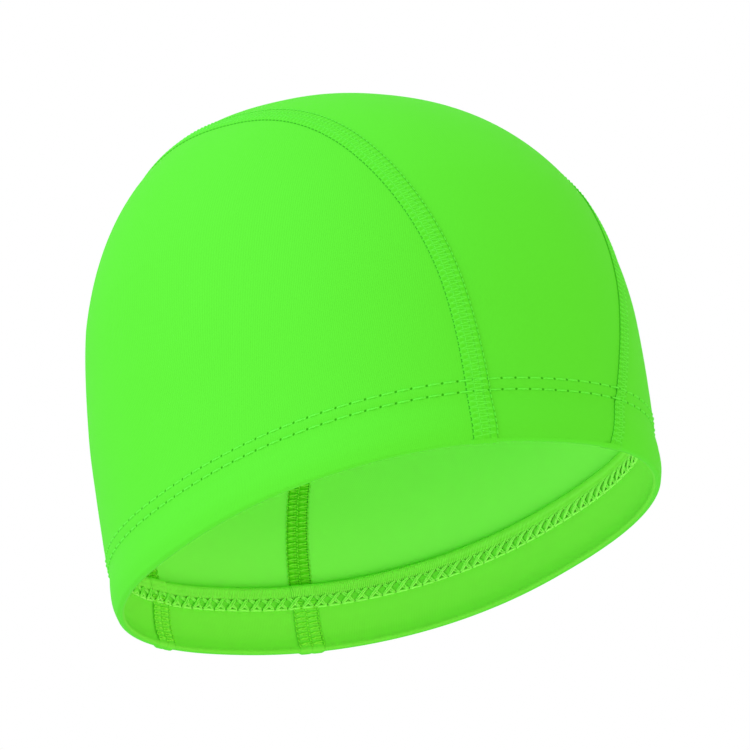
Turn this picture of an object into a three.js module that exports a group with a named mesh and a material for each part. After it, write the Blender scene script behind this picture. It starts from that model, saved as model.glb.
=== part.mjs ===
// A stretch-knit swim cap in its worn form. Two side panels and a centre panel meet in two raised flat
// seams that run from the front of the rim over the crown to the back, and the hem is folded inwards.
// Millimetres, +Z up, the front of the cap towards -Y. The origin is where the crown sits on the head.

import * as THREE from 'three';

// Head form that the cap follows, from the middle of its widest level, which runs lower at the front
const HALF_WIDTH = 83.8;
const FRONT_REACH = 105.6;
const BACK_REACH = 91.6;
const CROWN_RISE = 109.8;
const CROWN_SET_BACK = 4.8;
const LEVEL_DROP_FRONT = 2.4;

// Roundness of that form: 2 is an ellipse, more is squarer
const PLAN_ROUNDNESS = 2.26;
const UPPER_ROUNDNESS = { side: 2.31, front: 2.2, back: 2.72 };

// How far below the widest level each wall would close if it went on
const CLOSING_DEPTH = { side: 142, front: 240, back: 135 };

// The rim's slanting plane, below the middle of the widest level
const RIM_DROP_FRONT = 16.2;
const RIM_DROP_BACK = 73.6;

// Flat seams: their width, how far they stand proud, and where they run, by the turn from straight ahead
// (0) over the crown (90) to straight back (180). The spread is how far their outer sides lie from the
// centre panel's middle, and aside how far that lies to the right, both as shares of the half width.
const SEAM_WIDTH = 6.6;
const SEAM_PROUD = 0.4;
const SEAM_COURSE = [
  { turn: -10, spread: 0.334, aside: -0.032 },
  { turn: 20, spread: 0.48, aside: 0.07 },
  { turn: 50, spread: 0.569, aside: 0.078 },
  { turn: 90, spread: 0.568, aside: 0.028 },
  { turn: 130, spread: 0.574, aside: 0.021 },
  { turn: 170, spread: 0.49, aside: 0.026 },
  { turn: 200, spread: 0.43, aside: 0 },
  { turn: 225, spread: 0.405, aside: 0 },
];

// Cloth and hem
const FABRIC = 1.0;
const GAP = 0.3;
const FACING_CLEARANCE = 0.5;
const HEM_HEIGHT = 25;

// How far the wall stands out from the head form, as a share of the cloth, by height above the rim as a
// share of the hem's height: the rim turns out, and the wall above the hem is pulled in
const WALL_FLARE = [
  { height: 0, flare: 1.05 },
  { height: 0.2, flare: 1.42 },
  { height: 0.4, flare: 0.69 },
  { height: 0.64, flare: -0.65 },
  { height: 0.92, flare: -0.93 },
  { height: 1.28, flare: -1.47 },
  { height: 1.8, flare: -1.79 },
  { height: 2.4, flare: -1.44 },
  { height: 3.2, flare: -0.91 },
  { height: 4, flare: 0 },
];
const RAW_EDGE_HEIGHT = 3.2;
const RAW_EDGE_THICKNESS = 1.7;

// Facets
const PANEL_STEPS_ALONG = 40;
const PANEL_STEPS_ACROSS = 12;
const STRIP_STEPS = 46;
const RIM_STEPS = 72;
const FOLD_STEPS = 4;
const FACING_STEPS = 5;
const RIM_CROWDING = 1.5;
const END_CROWDING = 0.8;
const RIB_FOLLOW = 0.4;

const CAP_LENGTH = FRONT_REACH + BACK_REACH;
const LEAN = CROWN_SET_BACK / CROWN_RISE;
const LEVEL_SLANT = LEVEL_DROP_FRONT / FRONT_REACH;
const FOLD_RADIUS = (2 * FABRIC + FACING_CLEARANCE) / 2;
const PANEL_FOOT = FOLD_RADIUS + GAP;
const QUARTER = Math.PI / 2;
const SEARCH_STEPS = 40;
const SEARCH_REACH = 2 * Math.max(HALF_WIDTH, FRONT_REACH, BACK_REACH, CROWN_RISE);

/** Straight mix of two values. */
const mix = (a, b, share) => a + (b - a) * share;

/** Lowest argument, between two bounds, at which a rising test turns true, by halving. */
function firstTrue(low, high, test) {
  let below = low;
  let above = high;
  for (let step = 0; step < SEARCH_STEPS; step += 1) {
    const middle = (below + above) / 2;
    if (test(middle)) {
      above = middle;
    } else {
      below = middle;
    }
  }
  return (below + above) / 2;
}

/**
 * Value of one column of a table where another column, which rises, has a given value: a smooth curve
 * through the rows, with slopes drawn from each row's neighbours.
 */
function alongTable(rows, column, by, at) {
  const next = Math.max(1, rows.findIndex((row, index) => row[by] >= at || index === rows.length - 1));
  const step = (index) => rows[index][by] - rows[index - 1][by];
  const slope = (index) => (rows[index][column] - rows[index - 1][column]) / step(index);
  const slopeAt = (index) => {
    if (index === 0) {
      return slope(1);
    }
    if (index === rows.length - 1) {
      return slope(index);
    }
    const weight = step(index) / (step(index) + step(index + 1));
    return mix(slope(index), slope(index + 1), weight);
  };
  const width = step(next);
  const t = THREE.MathUtils.clamp((at - rows[next - 1][by]) / width, 0, 1);
  const eased = t * t * (3 - 2 * t);
  const leaving = t * (1 - t) ** 2 * width * slopeAt(next - 1);
  const arriving = t * t * (t - 1) * width * slopeAt(next);
  return mix(rows[next - 1][column], rows[next][column], eased) + leaving + arriving;
}

/**
 * How far out a point lies as a share of the way to the cap's outer face, which is 1. The form is a
 * superellipse in plan, leans back with height, and rounds over at the top with a roundness that
 * turns from the side's to the front's or back's as the point turns from the side to the middle.
 */
function shareOut(point) {
  const aside = Math.abs(point.x) / HALF_WIDTH;
  const rise = point.z - LEVEL_SLANT * point.y;
  const along = point.y - LEAN * rise;
  const facing = along < 0 ? 'front' : 'back';
  const ahead = Math.abs(along) / (along < 0 ? FRONT_REACH : BACK_REACH);
  const planPower = aside ** PLAN_ROUNDNESS + ahead ** PLAN_ROUNDNESS;
  const plan = planPower ** (1 / PLAN_ROUNDNESS);
  const turned = planPower > 0 ? ahead ** PLAN_ROUNDNESS / planPower : 0;
  if (rise >= 0) {
    const roundness = mix(UPPER_ROUNDNESS.side, UPPER_ROUNDNESS[facing], turned);
    return (plan ** roundness + (rise / CROWN_RISE) ** roundness) ** (1 / roundness);
  }
  const depth = mix(CLOSING_DEPTH.side, CLOSING_DEPTH[facing], turned);
  return Math.hypot(plan, rise / depth);
}

/** Point of the outer face in a direction from the middle of the widest level. */
const onFace = (direction) => direction.clone().divideScalar(shareOut(direction));

/** Outward normal of the outer face near a point: the slope of shareOut. */
function faceNormal(point) {
  const nudge = 0.01;
  const slope = ['x', 'y', 'z'].map((axis) => {
    const ahead = point.clone();
    const behind = point.clone();
    ahead[axis] += nudge;
    behind[axis] -= nudge;
    return shareOut(ahead) - shareOut(behind);
  });
  return new THREE.Vector3(...slope).normalize();
}

/** Height of a point above the rim's slanting plane. */
function heightAboveRim(point) {
  const alongCap = (point.y + FRONT_REACH) / CAP_LENGTH;
  return point.z + mix(RIM_DROP_FRONT, RIM_DROP_BACK, alongCap);
}

/** Point at a depth under the outer face, moved level outwards by the wall's flare at its height. */
function underFace(facePoint, depth) {
  const normal = faceNormal(facePoint);
  const level = new THREE.Vector3(normal.x, normal.y, 0).normalize();
  const flare = FABRIC * alongTable(WALL_FLARE, 'flare', 'height', heightAboveRim(facePoint) / HEM_HEIGHT);
  return facePoint.clone().addScaledVector(normal, -depth).addScaledVector(level, flare);
}

/** Point of the outer face at a plan angle, 0 at the front and positive to +X, and a rise above level. */
const faceTowards = (angle, rise) => onFace(new THREE.Vector3(
  Math.sin(angle) * Math.cos(rise),
  -Math.cos(angle) * Math.cos(rise),
  Math.sin(rise),
));

/** Rise above level at which the outer face, at a plan angle, is at a height above the rim. */
function riseToHeight(angle, height) {
  const steepest = 1.45;
  return firstTrue(-steepest, steepest, (rise) => heightAboveRim(faceTowards(angle, rise)) >= height);
}

/** Column of the seams' course at a turn over the head, in millimetres. */
const seamCourse = (column, turn) => HALF_WIDTH
  * alongTable(SEAM_COURSE, column, 'turn', THREE.MathUtils.radToDeg(turn));

/** Sideways place of a line that keeps to one side's seam, at an inset towards the panel's middle. */
const besideSeam = (side, turn, inset) => seamCourse('aside', turn) + side * (seamCourse('spread', turn) - inset);

/** Point of the outer face at a turn over the head, at a distance from the middle plane. */
function faceOverHead(turn, sideways) {
  const outTo = (reach) => new THREE.Vector3(sideways, -Math.cos(turn) * reach, Math.sin(turn) * reach);
  return outTo(firstTrue(0, SEARCH_REACH, (reach) => shareOut(outTo(reach)) >= 1));
}

/**
 * Line that runs with a seam from the rim's front to its back, at an inset from the seam's outer side
 * towards the cap's middle, as a function of its share of the way. It starts and ends at a height
 * above the rim.
 */
function lineAlongSeam(side, inset, height) {
  const pointAt = (turn) => faceOverHead(turn, besideSeam(side, turn, inset));
  const front = firstTrue(-QUARTER, QUARTER, (turn) => heightAboveRim(pointAt(turn)) >= height);
  const back = firstTrue(QUARTER, 3 * QUARTER, (turn) => heightAboveRim(pointAt(turn)) <= height);
  return (share) => pointAt(mix(front, back, share));
}

/**
 * Closed solid from a run of loops, each a ring of points that is a ladder: its first half runs out
 * along one face and its second half back along the other. Open runs are closed by the ladder's rungs.
 */
function solidFromLoops(loops, runIsClosed) {
  const size = loops[0].length;
  const positions = [];
  const places = new Map();
  const indexOf = loops.map((loop) => loop.map((point) => {
    const key = point.toArray().map((value) => Math.round(value * 1000)).join(' ');
    if (!places.has(key)) {
      places.set(key, positions.length / 3);
      positions.push(...point.toArray());
    }
    return places.get(key);
  }));
  const triangles = [];
  const addTriangle = (a, b, c) => {
    if (a !== b && b !== c && c !== a) {
      triangles.push(a, b, c);
    }
  };
  const addQuad = (a, b, c, d) => {
    addTriangle(a, b, c);
    addTriangle(a, c, d);
  };
  const spans = runIsClosed ? loops.length : loops.length - 1;
  for (let row = 0; row < spans; row += 1) {
    const here = indexOf[row];
    const next = indexOf[(row + 1) % loops.length];
    for (let column = 0; column < size; column += 1) {
      const beside = (column + 1) % size;
      addQuad(here[column], here[beside], next[beside], next[column]);
    }
  }
  if (!runIsClosed) {
    const first = indexOf[0];
    const last = indexOf[loops.length - 1];
    for (let rung = 0; rung < size / 2 - 1; rung += 1) {
      const far = size - 1 - rung;
      addQuad(first[rung], first[far], first[far - 1], first[rung + 1]);
      addQuad(last[rung], last[rung + 1], last[far - 1], last[far]);
    }
  }
  return closedGeometry(positions, triangles);
}

/** Geometry of a closed surface, turned so that its faces point outwards. */
function closedGeometry(positions, triangles) {
  const corner = (index) => new THREE.Vector3().fromArray(positions, 3 * index);
  let volume = 0;
  for (let start = 0; start < triangles.length; start += 3) {
    const [a, b, c] = triangles.slice(start, start + 3).map(corner);
    volume += a.dot(b.cross(c));
  }
  const outward = volume > 0 ? triangles : triangles.slice().reverse();
  const geometry = new THREE.BufferGeometry();
  geometry.setAttribute('position', new THREE.Float32BufferAttribute(positions, 3));
  geometry.setIndex(outward);
  geometry.computeVertexNormals();
  return geometry;
}

/** Loop of a wall of fabric through a row of points on the outer face. */
function wallLoop(row) {
  const outer = row.map((point) => underFace(point, 0));
  const inner = row.map((point) => underFace(point, FABRIC)).reverse();
  return [...outer, ...inner];
}

/** Evenly spaced shares from 0 to 1. */
const shares = (steps) => Array.from({ length: steps + 1 }, (_, index) => index / steps);

/** Share that moves slowly at both ends. */
const slowEnds = (share) => (1 - Math.cos(share * Math.PI)) / 2;

/** Shares of the way over the cap, crowded towards the rim at both ends. */
const crowdedShares = (steps) => shares(steps).map((share) => mix(share, slowEnds(share), END_CROWDING));

/** Centre panel: rows run across the cap from seam to seam, from the front of the rim to the back. */
function centrePanel() {
  const inset = SEAM_WIDTH + GAP;
  const pointAt = (turn, across) => {
    const left = besideSeam(-1, turn, inset);
    const right = besideSeam(1, turn, inset);
    return faceOverHead(turn, mix(left, right, across));
  };
  const lines = shares(PANEL_STEPS_ACROSS).map((across) => {
    const heightAt = (turn) => heightAboveRim(pointAt(turn, across));
    const front = firstTrue(-QUARTER, QUARTER, (turn) => heightAt(turn) >= PANEL_FOOT);
    const back = firstTrue(QUARTER, 3 * QUARTER, (turn) => heightAt(turn) <= PANEL_FOOT);
    return (share) => pointAt(mix(front, back, share), across);
  });
  const rows = crowdedShares(STRIP_STEPS).map((share) => lines.map((line) => line(share)));
  return solidFromLoops(rows.map(wallLoop), false);
}

/**
 * Side panel: rows run from the rim up to the seam. Near the front and back they climb the seam faster
 * than they move along the rim, as the ribs of the knit do.
 */
function sidePanel(side) {
  const alongSeam = lineAlongSeam(side, -GAP, PANEL_FOOT);
  const planAngle = (point) => Math.atan2(Math.abs(point.x), -point.y);
  const frontAngle = planAngle(alongSeam(0));
  const backAngle = planAngle(alongSeam(1));
  const loops = crowdedShares(PANEL_STEPS_ALONG).map((share) => {
    const top = alongSeam(share);
    const topAngle = planAngle(top);
    const footAngle = mix(frontAngle, backAngle, mix(slowEnds(share), share, RIB_FOLLOW));
    const topRise = Math.atan2(top.z, Math.hypot(top.x, top.y));
    const climb = topRise - riseToHeight(side * topAngle, PANEL_FOOT);
    const row = shares(PANEL_STEPS_ACROSS).map((step) => {
      const up = step ** RIM_CROWDING;
      const angle = side * mix(footAngle, topAngle, up);
      return step === 1 ? top : faceTowards(angle, riseToHeight(angle, PANEL_FOOT) + climb * up);
    });
    return wallLoop(row);
  });
  return solidFromLoops(loops, false);
}

/** Flat seam: a band with rounded-off sides that stands proud of the panels it joins. */
function flatSeam(side) {
  const profile = [
    { inset: 0, proud: 0 },
    { inset: 0.14, proud: 1 },
    { inset: 0.86, proud: 1 },
    { inset: 1, proud: 0 },
  ];
  const lines = profile.map(({ inset }) => lineAlongSeam(side, inset * SEAM_WIDTH, PANEL_FOOT));
  const loops = crowdedShares(STRIP_STEPS).map((share) => {
    const row = lines.map((line) => line(share));
    const outer = row.map((point, index) => underFace(point, -profile[index].proud * SEAM_PROUD));
    const inner = row.map((point) => underFace(point, FABRIC)).reverse();
    return [...outer, ...inner];
  });
  return solidFromLoops(loops, false);
}

/**
 * Hem facing: the fold that wraps the foot of the panels, the band that goes up behind them, and the
 * thicker overlocked raw edge at its top. Its outline is given as depth under the cap's outer face
 * and height above the rim.
 */
function hemFacing() {
  const back = FABRIC + FACING_CLEARANCE;
  const front = back + FABRIC;
  const edgeFoot = HEM_HEIGHT - RAW_EDGE_HEIGHT;
  const edgeFront = back + RAW_EDGE_THICKNESS;
  const fold = shares(FOLD_STEPS).map((share) => ({
    depth: FOLD_RADIUS * (1 - Math.cos(share * Math.PI)),
    height: FOLD_RADIUS * (1 - Math.sin(share * Math.PI)),
  }));
  const climb = shares(FACING_STEPS).map((share) => mix(FOLD_RADIUS, edgeFoot - GAP, share));
  const outline = [
    ...fold,
    ...climb.slice(1).map((height) => ({ depth: front, height })),
    { depth: edgeFront, height: edgeFoot + RAW_EDGE_HEIGHT * 0.25 },
    { depth: edgeFront, height: edgeFoot + RAW_EDGE_HEIGHT * 0.75 },
    { depth: mix(back, edgeFront, 0.6), height: HEM_HEIGHT },
    { depth: back, height: HEM_HEIGHT },
    ...climb.reverse().map((height) => ({ depth: back, height })),
  ];
  const loops = shares(RIM_STEPS).slice(0, RIM_STEPS).map((share) => {
    const angle = share * 2 * Math.PI;
    return outline.map(({ depth, height }) => underFace(faceTowards(angle, riseToHeight(angle, height)), depth));
  });
  return solidFromLoops(loops, true);
}

/** Fabric and thread colours, as plain matt finishes. */
const finish = (color) => new THREE.MeshStandardMaterial({ color, roughness: 0.75, metalness: 0 });

/** Underside of the crown's highest place: there the face is level, between its front and its back. */
function headSeat() {
  const top = (turn) => faceOverHead(turn, 0);
  return underFace(top(firstTrue(QUARTER / 2, 1.5 * QUARTER, (turn) => faceNormal(top(turn)).y >= 0)), FABRIC);
}

const cap = new THREE.Group();
cap.position.copy(headSeat().negate());

/** Adds one named piece to the cap. */
function addPiece(name, geometry, color) {
  const piece = new THREE.Mesh(geometry, finish(color));
  piece.name = name;
  cap.add(piece);
}

const SHELL_GREEN = 0x62ee40;
const SEAM_GREEN = 0x54da26;
const FACING_GREEN = 0x63dd30;

addPiece('centre_panel', centrePanel(), SHELL_GREEN);
addPiece('side_panel_left', sidePanel(-1), SHELL_GREEN);
addPiece('side_panel_right', sidePanel(1), SHELL_GREEN);
addPiece('seam_left', flatSeam(-1), SEAM_GREEN);
addPiece('seam_right', flatSeam(1), SEAM_GREEN);
addPiece('hem_facing', hemFacing(), FACING_GREEN);

export default cap;
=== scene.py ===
import bmesh
import bpy
import numpy as np
from mathutils import Matrix, Vector


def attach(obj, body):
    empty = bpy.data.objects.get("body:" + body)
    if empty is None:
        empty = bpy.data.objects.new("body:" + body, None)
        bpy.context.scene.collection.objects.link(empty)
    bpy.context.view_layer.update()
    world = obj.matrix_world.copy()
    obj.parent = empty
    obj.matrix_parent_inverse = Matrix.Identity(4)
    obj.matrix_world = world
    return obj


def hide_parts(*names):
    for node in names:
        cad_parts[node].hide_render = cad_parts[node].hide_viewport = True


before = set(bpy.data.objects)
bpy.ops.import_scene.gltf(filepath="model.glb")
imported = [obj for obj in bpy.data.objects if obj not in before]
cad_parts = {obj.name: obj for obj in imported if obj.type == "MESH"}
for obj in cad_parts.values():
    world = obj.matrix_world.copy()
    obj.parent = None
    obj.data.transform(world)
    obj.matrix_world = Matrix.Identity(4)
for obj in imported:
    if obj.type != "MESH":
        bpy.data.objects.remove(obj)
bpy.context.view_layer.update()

# Side panels
# The large piece of stretch knit on each side of the head, cut from one cloth and pulled smooth as worn.
# Its foot is turned in at the rim and its upper edge is caught under a flat seam. Its ribs climb from
# the rim to that seam.

# Head form, in metres, from the middle of the cap's widest level
HALF_WIDTH = 0.0838
FRONT_REACH = 0.1056
BACK_REACH = 0.0916
CROWN_RISE = 0.1098
CROWN_SET_BACK = 0.0048
LEVEL_DROP_FRONT = 0.0024
PLAN_ROUNDNESS = 2.26
SIDE_ROUNDNESS = 2.31
FRONT_ROUNDNESS = 2.2
BACK_ROUNDNESS = 2.72
SIDE_CLOSING_DEPTH = 0.142
FRONT_CLOSING_DEPTH = 0.240
BACK_CLOSING_DEPTH = 0.135
RIM_DROP_FRONT = 0.0162
RIM_DROP_BACK = 0.0736

# Where the seams run, by turn over the head in degrees: how far their outer sides lie from the centre
# panel's middle, and how far that lies to the right, as shares of the half width
SEAM_TURNS = np.array([-10.0, 20.0, 50.0, 90.0, 130.0, 170.0, 200.0, 225.0])
SEAM_SPREADS = np.array([0.334, 0.48, 0.569, 0.568, 0.574, 0.49, 0.43, 0.405])
PANEL_ASIDES = np.array([-0.032, 0.07, 0.078, 0.028, 0.021, 0.026, 0.0, 0.0])

# Cloth and hem
FABRIC = 0.001
FACING_CLEARANCE = 0.0005
HEM_ROWS = (0.01685, 0.0205)
HEM_STITCH = 0.005
HEM_RIDGE = 0.00035
HEM_RIDGE_REACH = 0.0026
STITCH_GROOVE = 0.00014
STITCH_GROOVE_REACH = 0.0007
SEAM_CREASE = 0.00005
SEAM_CREASE_REACH = 0.0016
FOLD_RADIUS = (2 * FABRIC + FACING_CLEARANCE) / 2
FOOT_HEIGHT = 0.2 * FOLD_RADIUS
HEM_HEIGHT = 0.025

# How far the wall stands out from the head form, as a share of the cloth, by height above the rim as a
# share of the hem's height
FLARE_HEIGHTS = np.array([0.0, 0.2, 0.4, 0.64, 0.92, 1.28, 1.8, 2.4, 3.2, 4.0])
FLARES = np.array([1.05, 1.42, 0.69, -0.65, -0.93, -1.47, -1.79, -1.44, -0.91, 0.0])

RIB_PITCH = 0.00062
LOOP_PITCH = 0.00052
RIB_FOLLOW = 0.4
RIM_CROWDING = 1.4
TUCK_UNDER_SEAM = 0.0006
SIDE_COLUMNS = 300
SIDE_ROWS = 128

CAP_LENGTH = FRONT_REACH + BACK_REACH
LEAN = CROWN_SET_BACK / CROWN_RISE
LEVEL_SLANT = LEVEL_DROP_FRONT / FRONT_REACH
QUARTER = np.pi / 2

# Bounds and steps of the searches for places on the head form
TINY = 1e-9
NUDGE = 1e-5
STEEPEST_RISE = 1.45
BEYOND_CROWN = 0.25
SEARCH_STEPS = 42


def mix(a, b, share):
    """Straight mix of two values."""
    return a + (b - a) * share


def bell(offset, reach):
    """Bell curve: 1 at no offset, a third of it at the reach to either side, and 0 far out."""
    return np.exp(-((offset / reach) ** 2))


def first_true(low, high, test):
    """Lowest arguments, between two bounds, at which a rising test turns true, by halving."""
    low, high = np.broadcast_arrays(np.asarray(low, float), np.asarray(high, float))
    for _ in range(SEARCH_STEPS):
        middle = (low + high) / 2
        found = test(middle)
        high = np.where(found, middle, high)
        low = np.where(found, low, middle)
    return (low + high) / 2


def share_out(points):
    """How far out points lie as a share of the way to the outer face, which is 1. The form is a
    superellipse in plan, leans back with height, and rounds over at the top with a roundness that turns
    from the side's to the front's or back's as the point turns from the side to the middle."""
    x, y, z = np.moveaxis(points, -1, 0)
    rise = z - LEVEL_SLANT * y
    along = y - LEAN * rise
    ahead = np.abs(along) / np.where(along < 0, FRONT_REACH, BACK_REACH)
    plan_power = (np.abs(x) / HALF_WIDTH) ** PLAN_ROUNDNESS + ahead**PLAN_ROUNDNESS
    plan = plan_power ** (1 / PLAN_ROUNDNESS)
    turned = ahead**PLAN_ROUNDNESS / np.maximum(plan_power, TINY)
    roundness = mix(SIDE_ROUNDNESS, np.where(along < 0, FRONT_ROUNDNESS, BACK_ROUNDNESS), turned)
    above = (plan**roundness + (np.maximum(rise, 0) / CROWN_RISE) ** roundness) ** (1 / roundness)
    closing = np.where(along < 0, FRONT_CLOSING_DEPTH, BACK_CLOSING_DEPTH)
    below = np.hypot(plan, rise / mix(SIDE_CLOSING_DEPTH, closing, turned))
    return np.where(rise >= 0, above, below)


def unit(vectors):
    """Vectors at length 1."""
    return vectors / np.maximum(np.linalg.norm(vectors, axis=-1, keepdims=True), TINY)


def face_normal(points):
    """Outward normal of the outer face near points: the slope of share_out along each axis."""
    nudges = np.eye(3) * NUDGE
    return unit(np.stack([share_out(points + nudge) - share_out(points - nudge) for nudge in nudges], -1))


def height_above_rim(points):
    """Height of points above the rim's slanting plane."""
    return points[..., 2] + mix(RIM_DROP_FRONT, RIM_DROP_BACK, (points[..., 1] + FRONT_REACH) / CAP_LENGTH)


def through_rows(places, values, at):
    """Cubic curve through a table's rows, held at both ends, with each row's slope mixed from its
    neighbours' by their spacing."""
    steps = np.diff(places)
    between = np.diff(values) / steps
    inner = mix(between[:-1], between[1:], steps[:-1] / (steps[:-1] + steps[1:]))
    slopes = np.concatenate([between[:1], inner, between[-1:]])
    row = np.clip(np.searchsorted(places, at) - 1, 0, len(steps) - 1)
    t = np.clip((at - places[row]) / steps[row], 0, 1)
    bend = t * (1 - t) ** 2 * slopes[row] + t * t * (t - 1) * slopes[row + 1]
    return mix(values[row], values[row + 1], t * t * (3 - 2 * t)) + bend * steps[row]


def under_face(points, depth):
    """Points at a depth under the outer face, moved level outwards by the wall's flare at their height."""
    normal = face_normal(points)
    level = unit(normal * [1, 1, 0])
    flare = FABRIC * through_rows(FLARE_HEIGHTS, FLARES, height_above_rim(points) / HEM_HEIGHT)
    return points - normal * np.asarray(depth)[..., None] + level * flare[..., None]


def way_towards(angle, rise):
    """Way out from the middle at plan angles, 0 at the front and positive to +X, and rises above level."""
    level = np.cos(rise)
    return np.stack([np.sin(angle) * level, -np.cos(angle) * level, np.sin(rise)], -1)


def face_towards(angle, rise):
    """Points of the outer face at plan angles and rises above level."""
    ways = way_towards(angle, rise)
    return ways / share_out(ways)[..., None]


def rise_to_height(angle, height):
    """Rise above level at which the outer face, at plan angles, is at a height above the rim."""
    low = np.full(np.broadcast(angle, height).shape, -STEEPEST_RISE)
    return first_true(low, -low, lambda rise: height_above_rim(face_towards(angle, rise)) >= height)


def face_at(angle, height):
    """Points of the outer face at plan angles and heights above the rim."""
    angle, height = np.broadcast_arrays(angle, height)
    return face_towards(angle, rise_to_height(angle, height))


def plan_angle(points):
    """Angle of points round the cap as seen from above, 0 at the front."""
    return np.arctan2(points[..., 0], -points[..., 1])


def seam_spread(turn):
    """Distance from the centre panel's middle to a seam's outer side, at turns over the head."""
    return HALF_WIDTH * through_rows(SEAM_TURNS, SEAM_SPREADS, np.degrees(turn))


def panel_aside(turn):
    """How far the centre panel's middle lies to the right, at turns over the head."""
    return HALF_WIDTH * through_rows(SEAM_TURNS, PANEL_ASIDES, np.degrees(turn))


def face_over_head(turn, sideways):
    """Points of the outer face at turns over the head, at distances from the middle plane."""
    turn, sideways = np.broadcast_arrays(turn, sideways)

    def out_to(reach):
        return np.stack([sideways, -np.cos(turn) * reach, np.sin(turn) * reach], -1)

    nothing = np.zeros(turn.shape)
    reach = first_true(nothing, BEYOND_CROWN, lambda reach: share_out(out_to(reach)) >= 1)
    return out_to(reach)


def beside_seam(side, turn, inset):
    """Sideways place of a line that keeps to one side's seam, at an inset from the seam's outer side."""
    return panel_aside(turn) + side * (seam_spread(turn) - inset)


def seam_inset(points, side):
    """How far points lie from a seam's outer side towards the cap's middle, measured sideways."""
    turn = np.arctan2(points[..., 2], -points[..., 1])
    turn = np.where(turn < -QUARTER, turn + 2 * np.pi, turn)
    return seam_spread(turn) - side * (points[..., 0] - panel_aside(turn))


def line_feet(point_at, height):
    """Turns over the head at which a line leaves the rim at the front and meets it at the back."""
    front = first_true(-QUARTER, QUARTER, lambda turn: height_above_rim(point_at(turn)) >= height)
    back = first_true(QUARTER, 3 * QUARTER, lambda turn: height_above_rim(point_at(turn)) <= height)
    return front, back


def lengths_along(points):
    """Distance travelled along rows of points, from 0 at each row's start."""
    steps = np.linalg.norm(np.diff(points, axis=-2), axis=-1)
    return np.concatenate([np.zeros(steps.shape[:-1] + (1,)), np.cumsum(steps, -1)], -1)


# The hem's stitches are counted round the rim from the back, a whole number of them
RIM_ANGLES = np.linspace(-np.pi, np.pi, 1441)
rim_lengths = lengths_along(face_at(RIM_ANGLES, np.mean(HEM_ROWS)))
STITCH_COUNT = round(rim_lengths[-1] / HEM_STITCH)
rim_stitches = rim_lengths / rim_lengths[-1] * STITCH_COUNT


def hem_places(points):
    """Map of the hem: stitches round the rim, and height above the rim in stitch lengths."""
    stitches = np.interp(plan_angle(points), RIM_ANGLES, rim_stitches)
    return np.stack([stitches, height_above_rim(points) / HEM_STITCH], -1)


def near_stitch_row(height):
    """How near heights above the rim are to one of the hem's stitch rows, from 0 to 1 on the row."""
    return sum(bell(height - row, STITCH_GROOVE_REACH) for row in HEM_ROWS)


def cloth_relief(points):
    """How far the panels' outer side stands out from the head form: the hem's stitching rides on a low
    ridge, pulls in along each row and most at each needle hole, a crease runs along each seam, and the
    foot turns in with the fold, along a circle."""
    height = height_above_rim(points)
    below = np.clip(1 - height / FOLD_RADIUS, 0, 0.95)
    turned_in = FOLD_RADIUS * (1 - np.sqrt(1 - below**2))
    needle = 0.65 + 0.35 * np.cos(2 * np.pi * hem_places(points)[..., 0])
    ridge = HEM_RIDGE * bell(height - np.mean(HEM_ROWS), HEM_RIDGE_REACH)
    groove = STITCH_GROOVE * near_stitch_row(height) * needle
    crease = sum(bell(seam_inset(points, side), SEAM_CREASE_REACH) for side in (-1, 1))
    return ridge - groove - SEAM_CREASE * crease - turned_in


def head_seat():
    """Underside of the crown's highest place, where the face is level between its front and its back."""

    def faces_back(turn):
        return face_normal(face_over_head(turn, 0.0))[..., 1] >= 0

    turn = first_true(QUARTER / 2, 1.5 * QUARTER, faces_back)
    return under_face(face_over_head(turn, 0.0), FABRIC)


HEAD_SEAT = head_seat()


def grid_squares(rows, columns):
    """Corner numbers of the squares between the points of a grid."""
    index = np.arange(rows * columns).reshape(rows, columns)
    corners = [index[:-1, :-1], index[:-1, 1:], index[1:, 1:], index[1:, :-1]]
    return index, np.stack(corners, -1).reshape(-1, 4)


def closed_wall(outer, inner):
    """Closed wall between two grids of points: the outer grid's squares, the inner's turned round, and a
    strip round their shared edge."""
    rows, columns = outer.shape[:2]
    index, squares = grid_squares(rows, columns)
    border = np.concatenate([index[0, :-1], index[:-1, -1], index[-1, :0:-1], index[:0:-1, 0]])
    beyond = np.roll(border, -1)
    count = rows * columns
    strip = np.stack([border, border + count, beyond + count, beyond], -1)
    points = np.concatenate([outer.reshape(-1, 3), inner.reshape(-1, 3)])
    return points, np.concatenate([squares, squares[:, ::-1] + count, strip])


def volume_of(points, squares):
    """Signed volume inside a closed surface of four-cornered faces, above 0 if they face outwards."""
    a, b, c, d = (points[squares[:, corner]] for corner in range(4))
    return (np.sum(a * np.cross(b, c)) + np.sum(a * np.cross(c, d))) / 6


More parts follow.
